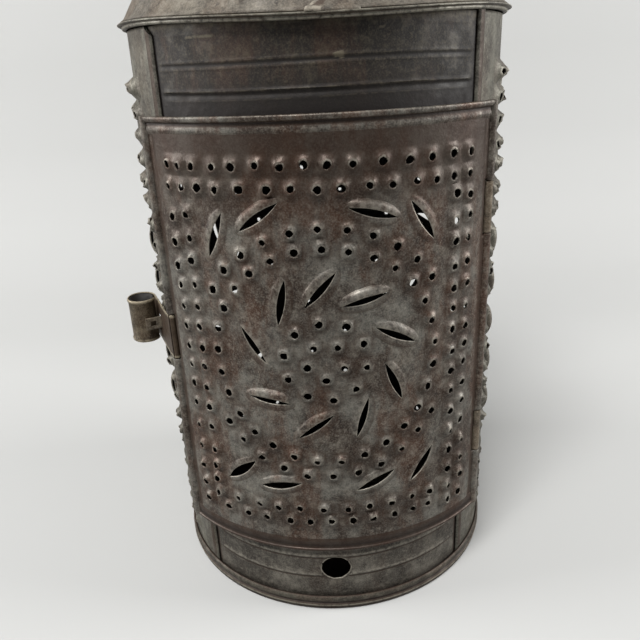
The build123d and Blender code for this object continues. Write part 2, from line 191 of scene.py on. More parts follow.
# Candle fittings, greyed and waxy
inner_tin = aged_tin("Dull tinplate, inside", "2e2a25", "4a443b", "7c7466", "463325",
                     rust_share=0.4, rough=0.5, metallic=0.5, seed=3.1)
# Wires of aged iron with brown rust
iron_wire = aged_tin("Aged iron wire", "332c27", "514840", "8d8478", "5a3b29",
                     rust_share=0.6, rough=0.45, metallic=0.7, seed=3.7)


# Shapes, made in millimetres

def clamped(share):
    """A share kept between none and all."""
    return min(1.0, max(0.0, share))


def only(kind, made):
    """The points, edges or faces among what an operator made."""
    return [item for item in made if isinstance(item, kind)]


def marks(shape):
    """The two marks that every point carries: wear and painted highlight, which brightens it, and grime and
    painted shade, which darkens it.
    """
    layers = shape.verts.layers.float
    return [layers.get(name) or layers.new(name) for name in ("wear_and_highlight", "grime_and_shade")]


def drawn_out(shape, loop):
    """Extrude edges on the spot; gives the new points and the new edges between them."""
    made = bmesh.ops.extrude_edge_only(shape, edges=loop)["geom"]
    points = only(BMVert, made)
    fresh = set(points)
    return points, [edge for edge in only(BMEdge, made) if all(vert in fresh for vert in edge.verts)]


def turned(azimuth, radius, height=0.0, middle=(0.0, 0.0)):
    """A point at an azimuth from the front, a radius and a height."""
    angle = math.radians(azimuth)
    return Vector((middle[0] + radius * math.sin(angle), middle[1] - radius * math.cos(angle), height))


def flat_sheet(left, right, low, high, cell, tall_cell=None):
    """A flat sheet as a grid: x is the arc, y the height and z outwards."""
    sheet = bmesh.new()
    marks(sheet)
    place = Matrix.Translation(((left + right) / 2, (low + high) / 2, 0))
    place = place @ Matrix.Diagonal((right - left, high - low, 1, 1))
    bmesh.ops.create_grid(sheet, x_segments=round((right - left) / cell),
                          y_segments=round((high - low) / (tall_cell or cell)), size=0.5, matrix=place)
    return sheet


def bent(sheet, radius, middle=(0.0, 0.0)):
    """Bend a flat sheet round the upright axis."""
    for vert in sheet.verts:
        arc, height, out = vert.co
        vert.co = turned(math.degrees(arc / radius), radius + out, height, middle)
    return sheet


def window(sheet, place, half_long, half_wide, sides, margin):
    """Cut an oval window in a flat sheet and return its loop of edges."""
    inverse = place.inverted()

    def reaches(face):
        spot = inverse @ face.calc_center_median()
        return (spot.x / (half_long + margin)) ** 2 + (spot.y / (half_wide + margin)) ** 2 < 1

    gone = dict.fromkeys(face for face in sheet.faces if reaches(face))
    rim = dict.fromkeys(edge for face in gone for edge in face.edges
                        if not all(other in gone for other in edge.link_faces))
    bmesh.ops.delete(sheet, geom=list(gone), context="FACES")
    oval = place @ Matrix.Diagonal((half_long, half_wide, 1, 1))
    verts = bmesh.ops.create_circle(sheet, segments=sides, radius=1, matrix=oval)["verts"]
    loop = dict.fromkeys(edge for vert in verts for edge in vert.link_edges)
    bmesh.ops.triangle_fill(sheet, use_beauty=True, edges=[*rim, *loop], normal=(0, 0, 1))
    return list(loop)


DOME_HALF = 4.6  # half the width of the swell round a slit
# The section of that swell: how far in towards the slit, and the share of its full height there
DOME = ((0.13, 0.4), (0.32, 0.8), (0.58, 1.0), (0.84, 1.05), (1.0, 0.95))


def chisel_slit(sheet, spot, lean, long, wide, up, down, cell, reach=1.6):
    """A chisel cut: a pointed slit whose one lip is pushed out as a dome, and the other a little."""
    place = Matrix.Translation((spot[0], spot[1], 0)) @ Matrix.Rotation(math.radians(lean), 4, "Z")
    half_long = long / 2 + reach
    loop = window(sheet, place, half_long, DOME_HALF, 28, 0.75 * cell)
    wear_and_highlight, grime_and_shade = marks(sheet)
    inverse = place.inverted()
    turns = {}
    for vert in {vert for edge in loop for vert in edge.verts}:
        local = inverse @ vert.co
        turns[vert] = math.atan2(local.y / DOME_HALF, local.x / half_long)
    for share, rise in DOME:
        points, loop = drawn_out(sheet, loop)
        after = {}
        for vert in points:
            old = next(edge.other_vert(vert) for edge in vert.link_edges if edge.other_vert(vert) in turns)
            turn = turns[old]
            after[vert] = turn
            across, rising = math.cos(turn), math.sin(turn)
            end_x, end_y = long / 2 * across, wide / 2 * rising * abs(rising)
            x = half_long * across + (end_x - half_long * across) * share
            y = DOME_HALF * rising + (end_y - DOME_HALF * rising) * share
            lift = (up if rising > 0 else down) * rise * abs(rising) ** 1.3
            vert.co = place @ Vector((x, y, lift))
            # The cut edge is pale with wear; the upper lip is painted paler as a highlight and the lower side
            # darker as painted shade.
            if share == 1:
                vert[wear_and_highlight] = 1.0
            else:
                vert[wear_and_highlight] = 0.3 + 0.28 * share if rising > 0.15 and share > 0.2 else 0.1 * share
            vert[grime_and_shade] = 0.45 * (1 - share) if rising < 0 else 0.12
        turns = after


BURR_SWELL = 3.2  # how far past its rim a burr lifts the sheet
BURR_GRIME = 5.0  # how far past its rim dirt gathers


def open_ring(centre):
    """The eight points round a point of the plain grid, or none where the grid is cut or used."""
    ring = {vert for face in centre.link_faces for vert in face.verts} - {centre}
    whole = len(centre.link_faces) == 4 and len(ring) == 8 and all(len(vert.link_faces) == 4 for vert in ring)
    return ring if whole else None


def punch_burrs(sheet, spots, rim, rise, chance):
    """Punch holes from behind: each stands out as a swell with a steep, ragged crater."""
    wear_and_highlight, grime_and_shade = marks(sheet)
    finder = KDTree(len(sheet.verts))
    verts = list(sheet.verts)
    for index, vert in enumerate(verts):
        finder.insert(vert.co, index)
    finder.balance()
    burst = []
    for x, y in spots:
        spot = Vector((x, y, 0))
        rings = {verts[index]: open_ring(verts[index]) for _, index, _ in finder.find_n(spot, 4)}
        centre = next((vert for vert, ring in rings.items() if ring), None)
        if centre is None:
            continue
        ring = rings[centre]
        outer = {vert for inner in ring for face in inner.link_faces for vert in face.verts} - ring - {centre}
        for _, index, away in finder.find_range(spot, rim + BURR_GRIME):
            vert = verts[index]
            if vert not in outer and vert not in ring:
                share = max(0.0, 1 - away / (rim + BURR_SWELL))
                vert.co.z += 0.62 * rise * share * share
                vert[grime_and_shade] = max(vert[grime_and_shade], 0.75 * (1 - away / (rim + BURR_GRIME)))
        tilt = chance.uniform(0, math.tau)
        height = rise * chance.uniform(0.8, 1.15)
        size = rim * chance.uniform(0.9, 1.15)
        middle = centre.co.copy()
        bearing = {vert: math.atan2(vert.co.y - middle.y, vert.co.x - middle.x) for vert in outer | ring}
        for group, radius, lift in ((outer, size + 0.7, 0.6), (ring, size, 1.0)):
            on_rim = group is ring
            for vert in sorted(group, key=bearing.get):
                way = vert.co - middle
                way.z = 0
                way.normalize()
                lean = 1 + 0.16 * math.cos(math.atan2(way.y, way.x) - tilt)
                ragged = chance.uniform(0.8, 1.1) if on_rim else 1
                vert.co = spot + way * radius * (chance.uniform(0.86, 1.1) if on_rim else 1)
                vert.co.z = height * lift * ragged * lean
                # Rims are pale with wear; the upper side of each rim and slope is made paler still as a
                # painted highlight of light from above.
                if on_rim:
                    vert[wear_and_highlight] = chance.uniform(0.35, 0.75) + 0.2 * way.y
                else:
                    vert[wear_and_highlight] = max(0.0, 0.08 + 0.22 * way.y)
                vert[grime_and_shade] = 0 if on_rim else 0.12
        burst.append(centre)
    bmesh.ops.delete(sheet, geom=burst, context="VERTS")


def spun(points, first, last, steps, middle=(0.0, 0.0), closed=True):
    """Spin a section about the upright axis; its points are radius, height and, if given, wear and grime."""
    shape = bmesh.new()
    layers = marks(shape)
    verts = []
    for radius, height, *given in points:
        verts.append(shape.verts.new(turned(first, radius, height, middle)))
        for layer, mark in zip(layers, given):
            verts[-1][layer] = mark
    pairs = list(zip(verts, verts[1:] + (verts[:1] if closed else [])))
    edges = [shape.edges.new(pair) for pair in pairs]
    whole = last - first >= 360
    bmesh.ops.spin(shape, geom=verts + edges, cent=(middle[0], middle[1], 0), axis=(0, 0, 1),
                   angle=math.radians(last - first), steps=steps, use_merge=whole)
    bmesh.ops.remove_doubles(shape, verts=shape.verts, dist=0.001)
    if closed and not whole:
        bmesh.ops.holes_fill(shape, edges=[edge for edge in shape.edges if edge.is_boundary], sides=0)
    bmesh.ops.recalc_face_normals(shape, faces=shape.faces)
    return shape


def tube(outer, inner, low, high, sides, spot, worn_and_lit):
    """An upright tube between two heights."""
    shape = bmesh.new()
    wear_and_highlight, _ = marks(shape)
    foot = Matrix.Translation((*spot, low))
    loops = []
    for radius in (outer, inner):
        verts = bmesh.ops.create_circle(shape, segments=sides, radius=radius, matrix=foot)["verts"]
        loops += dict.fromkeys(edge for vert in verts for edge in vert.link_edges)
    bmesh.ops.bridge_loops(shape, edges=loops)
    made = bmesh.ops.extrude_face_region(shape, geom=list(shape.faces))["geom"]
    bmesh.ops.translate(shape, vec=(0, 0, high - low), verts=only(BMVert, made))
    bmesh.ops.recalc_face_normals(shape, faces=shape.faces)
    for vert in shape.verts:
        vert[wear_and_highlight] = worn_and_lit
    return shape


def joined(*shapes):
    """Several shapes in one mesh."""
    first = shapes[0]
    for other in shapes[1:]:
        spare = bpy.data.meshes.new("spare")
        other.to_mesh(spare)
        other.free()
        first.from_mesh(spare)
        bpy.data.meshes.remove(spare)
    return first


def finish(name, shape, body, coats, nodes=(), thickness=0.0, bevel=0.0, sharp=50.0, offset=-1.0,
           inside=None):
    """Turn a shape into a piece that rides on a body, with its coats, thickness and worn edges."""
    bmesh.ops.scale(shape, vec=(MM, MM, MM), verts=shape.verts)
    mesh = bpy.data.meshes.new(name)
    for face in shape.faces:
        face.smooth = True
    shape.to_mesh(mesh)
    shape.free()
    for coat in coats:
        mesh.materials.append(coat)
    mesh.set_sharp_from_angle(angle=math.radians(sharp))
    piece = bpy.data.objects.new(name, mesh)
    bpy.context.scene.collection.objects.link(piece)
    if thickness:
        solid = piece.modifiers.new("Sheet thickness", "SOLIDIFY")
        solid.thickness = thickness * MM
        solid.offset = offset
        solid.material_offset = len(coats) - 1 if inside is None else inside
    if bevel:
        round_over = piece.modifiers.new("Worn edges", "BEVEL")
        round_over.width = bevel * MM
        round_over.segments = 2
        round_over.limit_method = "ANGLE"
        round_over.angle_limit = math.radians(35)
    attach(piece, body)
    if nodes:
        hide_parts(*nodes)
    return piece


# The punched pattern

def spread(spots, more, gap):
    """Add places that keep a gap to those already there."""
    for spot in more:
        if all(math.dist(spot, other) >= gap for other in spots):
            spots.append(spot)
    return spots


def ring_of(centre, radius, count, limit=None, start=0.5):
    """Places round a circle, left out past an arc limit from its middle."""
    places = []
    for index in range(count):
        turn = math.tau * (index + start) / count
        x, y = radius * math.cos(turn), radius * math.sin(turn)
        if limit is None or abs(x) < limit:
            places.append((centre[0] + x, centre[1] + y))
    return places


def line_of(first, last, count):
    """Places along a line."""
    return [tuple(a + (b - a) * index / (count - 1) for a, b in zip(first, last)) for index in range(count)]


def pinwheel(centre):
    """The nine leaning slits: place and lean."""
    slits = []
    for azimuth in (113, 82, 47, 7, -33, -72, -110, -154, 157):
        (x0, y0), (x1, y1) = [(reach * math.cos(math.radians(turn)), reach * math.sin(math.radians(turn)))
                              for reach, turn in ((34, azimuth), (22, azimuth + 26))]
        lean = math.degrees(math.atan2(y0 - y1, x0 - x1))
        lean = (lean + 90) % 180 - 90
        slits.append((centre[0] + (x0 + x1) / 2, centre[1] + (y0 + y1) / 2, lean))
    return slits


chance = random.Random(7)  # every random draw comes from here, in the order of the script


def shaken(spots, amount):
    """Places as a hand sets them, each a little off."""
    return [(x + chance.uniform(-amount, amount), y + chance.uniform(-amount, amount)) for x, y in spots]


# The door's pattern: border rows (a height and its arcs) and columns (an arc and its heights)
BORDER_ROWS = (
    (187.0, (-57, -51.6, -45.1, -37.2, -29.5, -21.3, -12.7, -5.6, 2.2, 10.3, 20.3, 29.6, 38.5, 47.4, 55.6)),
    (179.4, (-58, -51.2, -43.7, -36.6, -27.4, -17.8, -9.8, -1.5, 6.4, 15.6, 23.2, 32.7, 40, 48, 55.6)),
    (52.7, (-40.6, -30.8, -22.5, -13.6, -4.1, 5.3, 13.6, 22.9, 31.5, 39.7)),
    (46.8, (-46.6, -36.6, -27.7, -17.8, -9.8, -1.7, 7, 15.2, 23.8, 32.2, 39.3)))
BORDER_COLUMNS = (
    (-58.0, (168.5, 159.2, 150, 142.5, 134.3, 126.1, 117.9, 109.9, 101.5, 93, 82.2, 72.7, 62.9, 54.4, 46.5)),
    (-50.6, (169.7, 161.6, 152.9, 144.2, 135.1, 127.4, 118.4, 110.7, 101.5, 93, 83.5, 73.4, 65.4, 59, 52)),
    (56.2, (172.1, 164.7, 156.1, 147.2, 139.2, 129.6, 121.8, 114.2, 106.9, 97.6, 89.5, 80.4, 70.9, 62.3,
            54.2, 45)),
    (49.5, (173.2, 164, 156.2, 146.6, 138.4, 130.2, 122, 113.2, 104.5, 95.9, 86.6, 77.6, 68.7, 59.6,
            51, 44.4)))
MEDALLION = (-1.0, 117.0)
# Arc, height and lean of the two slits in each corner
CORNER_SLITS = ((-39.1, 163.3, 67), (-22.1, 170.2, 34), (17, 170.3, -15), (35.5, 165.9, -56.5),
                (-38.2, 66.7, 39), (-21.2, 62.8, 9.5), (16.7, 63.9, 25), (36.5, 66.8, 53))
door_spots = [(arc, height) for height, arcs in BORDER_ROWS for arc in arcs]
door_spots += [(arc, height) for arc, heights_up in BORDER_COLUMNS for height in heights_up]
for radius, count, limit, start, gap in ((42.0, 29, None, 0.24, 4.2), (49.0, 32, 44.5, 0.09, 4.2),
                                         (15.2, 10, None, 0.69, 4.0), (7.2, 5, None, 0.71, 4.0)):
    spread(door_spots, ring_of(MEDALLION, radius, count, limit, start), gap)

# Door: the punched sheet, darkened at its top as painted shade under the eave, notched where the straps and
# the hasp grip its wires
DOOR_CELL = 1.05
DOOR_SLIT = 17.4
DOOR_BURR = 1.52
DOOR_MARGIN = 0.6  # from the sheet's edge to the middle of its roll
LOW_SLITS = 80  # below this height the door's slits gape wider and stand out less
NOTCH_GAP = 0.6
NOTCH_DEEP = 2.7
EAVE_SHADE_FOOT, EAVE_SHADE_RISE = 158, 34  # where the painted shade under the eave starts, and how far above it is full
NOTCHES = {side: [(heights(node)[0] - NOTCH_GAP, heights(node)[1] + NOTCH_GAP) for node in nodes]
           for side, nodes in ((1, ("hinge_strap_lower", "hinge_strap_upper")), (-1, ("hasp",)))}


def in_notch(spot):
    """Whether a place on the flat door lies in a notch of its nearer edge."""
    notches = NOTCHES[1 if spot.x > 0 else -1]
    return abs(spot.x) > DOOR_ARC - NOTCH_DEEP and any(low < spot.y < high for low, high in notches)


door = flat_sheet(-DOOR_ARC + DOOR_MARGIN, DOOR_ARC - DOOR_MARGIN, DOOR_LOW, DOOR_HIGH, DOOR_CELL)
for x, y, lean in (*pinwheel(MEDALLION), *CORNER_SLITS):
    upright = max(0.55, math.cos(math.radians(lean)))
    wide, up = (3.8, 1.2) if y < LOW_SLITS else (2.7, 1.7)
    chisel_slit(door, (x, y), lean, DOOR_SLIT, wide, up * upright, 0.35, DOOR_CELL)
# The burrs between two heights stand out by the third value
for low, high, rise in ((0, 80, 1.9), (80, 175, 1.4), (175, 300, 1.6)):
    spots = shaken([spot for spot in door_spots if low < spot[1] < high], 0.3)
    punch_burrs(door, spots, DOOR_BURR, rise, chance)
bmesh.ops.delete(door, geom=[face for face in door.faces if in_notch(face.calc_center_median())],
                 context="FACES")
_, grime_and_shade = marks(door)
for vert in door.verts:
    # Painted shade under the eave, darkening the door towards its top
    eave_shade = 0.62 * clamped((vert.co.y - EAVE_SHADE_FOOT) / EAVE_SHADE_RISE)
    vert[grime_and_shade] = max(vert[grime_and_shade], eave_shade)
    # Beside each rolled edge the sheet dips into a groove, darkened as painted shade
    edge_gap = DOOR_ARC - abs(vert.co.x)
    if edge_gap < 5.6:
        vert[grime_and_shade] = 0.5 if 2.2 < edge_gap < 4.6 else max(0.2, eave_shade)
        vert.co.z -= 0.4 if 1.8 < edge_gap < 4.6 else 0.1
bent(door, DOOR_RADIUS, DOOR_MIDDLE)
finish("door_sheet", door, "door", [door_tin, smoked_shaded_tin], ["door_panel"], SHEET)


def door_hem(edge, inwards, bead):
    """A bead with a dark groove and a soft crease, along an edge of the door; the groove's dark is painted
    shade and the crease's pale line a painted highlight, the bead pale with wear.
    """
    section = (
        (-0.7, 0, 0, 0), (0.6, 0, 0.3, 0), (1.0, 0.25 * bead, 0.5, 0), (1.12, 0.8 * bead, 0.2, 0.1),
        (0.95, 1.5 * bead, 0.2, 0), (0.5, 1.9 * bead, 0, 0.5), (0.08, 2.2, 0, 0.9), (0.05, 3.0, 0, 0.7),
        (0.2, 3.6, 0.1, 0.2), (0.34, 4.3, 0.35, 0), (0.3, 4.8, 0.25, 0), (0.1, 5.4, 0, 0.3),
        (-0.1, 6.0, 0, 0.1), (-0.7, 6.0, 0, 0))
    points = []
    for out, up, worn_and_lit, hollow in section:
        radius = DOOR_RADIUS + out * (0.5 + 0.5 * bead if out > 0.4 else 1)
        points.append((radius, edge + inwards * up, bead * worn_and_lit, max(hollow, 1.6 * (1 - bead))))
    return spun(points, -DOOR_HALF, DOOR_HALF, 48, DOOR_MIDDLE)


finish("door_hems", joined(door_hem(DOOR_HIGH, -1, 1.0), door_hem(DOOR_LOW, 1, 0.6)), "door",
       [door_tin], bevel=0.1)

# The door's upright edges, rolled round the wires between the notches
ROLL_OUTER, ROLL_INNER = 1.78, 1.04
rolls = []
for side, notches in NOTCHES.items():
    level = DOOR_LOW
    for low, high in (*notches, (DOOR_HIGH, None)):
        rolls.append(tube(ROLL_OUTER, ROLL_INNER, level, low, 18, (side * WIRE[0], WIRE[1]), 0.35))
        level = high
finish("door_edge_rolls", joined(*rolls), "door", [door_tin], bevel=0.15)

# Wall: two medallions, slits beside the jambs, and rows and columns of burrs, at azimuths in degrees
WALL_CELL = 1.4
WALL_SLIT = 17.0
JAMB_SLIT = 14.0
WALL_MEDALLIONS = (118, 242)
JAMB_SLITS = ((75, 84, (146, 127.5, 109, 90, 71)), (285, 96, (152, 134.5, 117.5, 100.5, 83)))
JAMB_COLUMNS = (66, 294)
BACK_COLUMNS = (172, 188)
WALL_HIGH, WALL_LOW = 211.5, 15
wall = flat_sheet(JAMB * BODY_ARC, (360 - JAMB) * BODY_ARC, BODY_FOOT, BODY_TOP, WALL_CELL)
wall_spots = []
wall_slits = []
for azimuth in WALL_MEDALLIONS:
    centre = (azimuth * BODY_ARC, MEDALLION[1])
    wall_slits += pinwheel(centre)
    for radius, count, gap in ((42.0, 29, 4.8), (49.0, 32, 4.8), (15.2, 10, 4.4), (7.2, 5, 4.4)):
        spread(wall_spots, ring_of(centre, radius, count), gap)
for azimuth, lean, slit_heights in JAMB_SLITS:
    x = azimuth * BODY_ARC
    for height in slit_heights:
        chisel_slit(wall, (x, height), lean, JAMB_SLIT, 2.8, 2.7, 1.2, WALL_CELL, reach=0.45)
    spread(wall_spots, line_of((x, WALL_HIGH), (x, 160), 7), 4.8)
    spread(wall_spots, line_of((x, 54), (x, WALL_LOW), 7), 4.8)
for azimuths, high, low, count in ((JAMB_COLUMNS, WALL_HIGH, WALL_LOW, 24), (BACK_COLUMNS, 205, 28, 28)):
    for azimuth in azimuths:
        spread(wall_spots, line_of((azimuth * BODY_ARC, high), (azimuth * BODY_ARC, low), count), 4.8)
for height in (WALL_HIGH, 204, 24, 15.5):
    spread(wall_spots, line_of((82 * BODY_ARC, height), (278 * BODY_ARC, height), 34), 6.0)
for azimuth, side in ((92, 1), (144, -1), (216, 1), (268, -1)):
    wall_slits += [(azimuth * BODY_ARC, 178, 40 * side), (azimuth * BODY_ARC, 56, -40 * side)]
for x, y, lean in wall_slits:
    chisel_slit(wall, (x, y), lean, WALL_SLIT, 2.8, 1.9, 0.8, WALL_CELL)
# The burrs are flatter near the foot, and larger in the columns beside the jambs
LOW_BURRS = 64
columns = (*JAMB_COLUMNS, *(azimuth for azimuth, _, _ in JAMB_SLITS))
low_spots = [spot for spot in wall_spots if spot[1] < LOW_BURRS]
side_spots = [spot for spot in wall_spots
              if spot[1] >= LOW_BURRS and min(abs(spot[0] / BODY_ARC - azimuth) for azimuth in columns) < 1]
middle_spots = [spot for spot in wall_spots if spot not in low_spots and spot not in side_spots]
for spots, rim, rise in ((middle_spots, 1.3, 2.4), (side_spots, 1.6, 2.8), (low_spots, 1.2, 1.3)):
    punch_burrs(wall, shaken(spots, 0.4), rim, rise, chance)

# The wall's top corner on the latch side, clipped along a slope
CLIP_HEIGHT = 228.4
CLIP_SLOPE = 0.8
clip_edge = (360 - JAMB) * BODY_ARC
near = {vert for vert in wall.verts if abs(vert.co.x - clip_edge) < 9 and vert.co.y > CLIP_HEIGHT - 5}
faces = [face for face in wall.faces if all(vert in near for vert in face.verts)]
parts = list(dict.fromkeys(item for face in faces for item in (*face.verts, *face.edges))) + faces
cut = bmesh.ops.bisect_plane(wall, geom=parts, plane_co=(clip_edge, CLIP_HEIGHT, 0),
                             plane_no=(CLIP_SLOPE, 1, 0))["geom"]
middles = {face: face.calc_center_median() for face in only(BMFace, cut)}
gone = [face for face, spot in middles.items() if spot.y > CLIP_HEIGHT - CLIP_SLOPE * (spot.x - clip_edge)]
bmesh.ops.delete(wall, geom=gone, context="FACES")
bent(wall, BODY_RADIUS)
finish("wall_sheet", wall, "lantern_body", [wall_tin, smoked_shaded_tin], ["body_shell"], SHEET)

# Folded jamb edges, the latch side's top corner clipped, with a dark band of painted shade over the fold
# beside a pale fold line that is partly wear and partly painted highlight
HEM = 4.3
HEM_RISE = 0.75
hems = []
for side in (1, -1):
    strip = flat_sheet(0, HEM, 8.6, 232.0, 0.43, 2.0)
    if side < 0:
        bmesh.ops.bisect_plane(strip, geom=strip.verts[:] + strip.edges[:] + strip.faces[:],
                               plane_co=(0, CLIP_HEIGHT, 0), plane_no=(-CLIP_SLOPE, 1, 0), clear_outer=True)
    wear_and_highlight, grime_and_shade = marks(strip)
    for vert in strip.verts:
        x = vert.co.x
        vert.co.z = HEM_RISE * math.sqrt(max(0.0, 1 - (x / (HEM / 2) - 1) ** 2)) + 0.02
        # The pale fold line is partly wear, partly painted highlight; the dark band over the fold is painted
        # shade.
        vert[wear_and_highlight] = 0.9 if x > 3.6 else 0.45 if x < 0.4 else 0
        vert[grime_and_shade] = 0.5 if 0.5 < x < 3.2 else 0
        vert.co.x = side * (JAMB * BODY_ARC + x)
    if side < 0:
        bmesh.ops.reverse_faces(strip, faces=strip.faces)
    hems.append(bent(strip, BODY_RADIUS))
finish("jamb_hems", joined(*hems), "lantern_body", [wall_tin])


# Front panels, swaged with thin ribs
PANEL_HALF = math.radians(54.5) * PANEL_RADIUS
RIBS_END = 58.5
BEHIND_JAMBS = 59.6  # past this arc the panel lies in the dark behind the jambs


def ribbed_panel(low, high, ribs):
    """A plain panel behind the jambs; each rib is a height, a half width and a rise."""
    panel = flat_sheet(-PANEL_HALF, PANEL_HALF, low, high, 1.6, 0.42)
    wear_and_highlight, grime_and_shade = marks(panel)
    for vert in panel.verts:
        beside = abs(vert.co.x)
        # Painted shade: behind the jambs the panel is darkened fully.
        vert[grime_and_shade] = 1.0 if beside > BEHIND_JAMBS else 0
        if beside > RIBS_END:
            continue
        for middle, half_width, rise in ribs:
            share = (vert.co.y - middle - 0.25 * math.sin(vert.co.x / 19)) / half_width
            swell = math.exp(-share * share)
            vert.co.z += rise * swell
            # Rib crests are painted pale as highlights, and the grooves below them dark as painted shadow.
            vert[wear_and_highlight] = min(1.0, vert[wear_and_highlight] + (0.45 + 0.4 * rise) * swell * (rise > 0))
            vert[grime_and_shade] = min(1.0, vert[grime_and_shade] + 0.8 * swell * (rise < 0))
    return panel


upper = ribbed_panel(UPPER_LOW, BODY_TOP, (
    (227.6, 0.4, 0.08), (219.4, 0.38, 0.2), (218.4, 0.5, -0.2), (217.2, 0.35, 0.14),
    (210.4, 0.45, 0.4), (209.2, 0.8, -0.35), (207.6, 0.5, 0.06)))
# Painted shade above the door's top edge, dust under the eave, and a small raised flake between pale flecks
SHADE_TOP, SHADE_FALL = 216, 13  # where the painted shade starts, and how far below it is full
DUST_FOOT, DUST_RISE = 225, 5
# Arc, height and half sizes
FLECKS = ((-38.0, 226.6, 6.0, 0.5), (7.6, 219.4, 1.8, 1.1), (20.5, 226.6, 1.0, 0.5))
wear_and_highlight, grime_and_shade = marks(upper)
for vert in upper.verts:
    # Painted shade, darker towards the door's top edge
    vert[grime_and_shade] = max(vert[grime_and_shade], 0.95 * clamped((SHADE_TOP - vert.co.y) / SHADE_FALL))
    vert[wear_and_highlight] = max(vert[wear_and_highlight], 0.65 * clamped((vert.co.y - DUST_FOOT) / DUST_RISE))
for arc, height, half_wide, half_high in FLECKS:
    for vert in upper.verts:
        if ((vert.co.x - arc) / half_wide) ** 2 + ((vert.co.y - height) / half_high) ** 2 < 1:
            vert.co.z += 0.12 * half_high
            vert[wear_and_highlight] = 1.0
bent(upper, PANEL_RADIUS)
finish("upper_panel_sheet", upper, "lantern_body", [recess_shaded_tin, smoked_shaded_tin],
       ["upper_front_panel"], SHEET)

lower = ribbed_panel(BODY_FOOT, LOWER_HIGH, (
    (27.4, 1.1, 0.6), (25.9, 0.4, -0.25), (17.6, 1.1, 0.55), (16.1, 0.4, -0.25)))
# The draught hole, its cut edge bright and a little rough
draught = Matrix.Translation((-0.7, 20.9, 0))
lip, _ = drawn_out(lower, window(lower, draught, 6.7, 6.1, 32, 0.7))
wear_and_highlight, _ = marks(lower)
for vert in lip:
    vert.co = draught @ ((draught.inverted() @ vert.co) * chance.uniform(0.93, 0.98)) + Vector((0, 0, 0.3))
    vert[wear_and_highlight] = 0.9
bent(lower, PANEL_RADIUS)
finish("lower_panel_sheet", lower, "lantern_body", [lower_tin, smoked_shaded_tin],
       ["lower_front_panel"], SHEET)

# Base pan: flat floor, and a rim with a bright bead, a groove and a rolled lip
# In the section, the grime in the groove under the bead is painted shade.
BASE_SECTION = (
    (0, 0), (73.6, 0), (74.1, 0.5, 0, 0.5), (74.2, 1.6, 0.1, 0.3), (74.45, 1.9, 0.9), (74.45, 2.4, 0.8),
    (74.15, 2.8, 0, 0.6), (73.75, 3.2, 0, 1), (74.0, 3.6, 0, 0.6), (74.3, 4.3, 0.1, 0.1), (74.4, 5.2, 0.1),
    (74.2, 6.1, 0.35), (73.7, 6.5, 0.1, 0.6), (73.1, 6.4, 0, 1), (73.1, 0.6, 0, 1), (0, 0.6))
finish("base_pan_tin", spun(BASE_SECTION, 0, 360, 160, closed=False), "lantern_body", [base_tin],
       ["base_pan"], sharp=40)

# Eave: the rolled roof edge over a narrow band; it sags a little at the front
SAG = 2.7
SAG_HALF = 65  # degrees from the front to where the sag ends
SAG_FADE = 30  # height above the eave over which it fades out
# In the section, the grime under the roof's roll and at the band's foot is painted shade, and the pale bead
# is partly wear, partly painted highlight.
EAVE_SECTION = (
    (73.1, 231.9, 0, 1), (74.2, 231.9, 0, 0.2), (74.6, 232.1, 0.6), (74.8, 232.5, 0.8), (74.7, 232.9, 0.5),
    (74.8, 233.15, 0, 0.7), (75.8, 233.25, 0, 0.2), (76.2, 233.45, 0.4), (76.2, 233.7, 0.6),
    (75.9, 233.9, 0.6), (75.2, 234.0, 0.2), (73.1, 233.9))


def sagged(shape):
    """Lower the front of the eave, fading out up the roof."""
    for vert in shape.verts:
        azimuth = math.degrees(math.atan2(vert.co.x, -vert.co.y))
        if abs(azimuth) < SAG_HALF:
            fade = clamped(1 - (vert.co.z - EAVE_TOP) / SAG_FADE)
            vert.co.z -= SAG * fade * math.cos(math.radians(azimuth * 90 / SAG_HALF)) ** 2
    return shape


finish("eave_seam", sagged(spun(EAVE_SECTION, 0, 360, 160)), "lantern_body", [wall_tin],
       ["eave_band"], sharp=40)

# Roof cone from a flat sheet, with punched vents near its top and a lap at the front
ROOF_SLANT = math.dist((ROOF_BASE, EAVE_TOP), (ROOF_NARROW, ROOF_TOP))
ROOF_LEAN = math.atan2(ROOF_BASE - ROOF_NARROW, ROOF_TOP - EAVE_TOP)
EDGE_RISE, EDGE_WIDE = 0.7, 0.9  # the roof's rolled foot
VENTS = 6
VENT_LONG, VENT_WIDE = 8.6, 3.0  # half sizes of the swell round a vent


def coned(sheet):
    """Bend a flat sheet to the roof's cone: x is the arc at its foot, y the way up the slope."""
    for vert in sheet.verts:
        arc, up, out = vert.co
        share = up / ROOF_SLANT
        radius = ROOF_BASE + (ROOF_NARROW - ROOF_BASE) * share + out * math.cos(ROOF_LEAN)
        vert.co = turned(math.degrees(arc / ROOF_BASE), radius,
                         EAVE_TOP + (ROOF_TOP - EAVE_TOP) * share + out * math.sin(ROOF_LEAN))
    return sheet


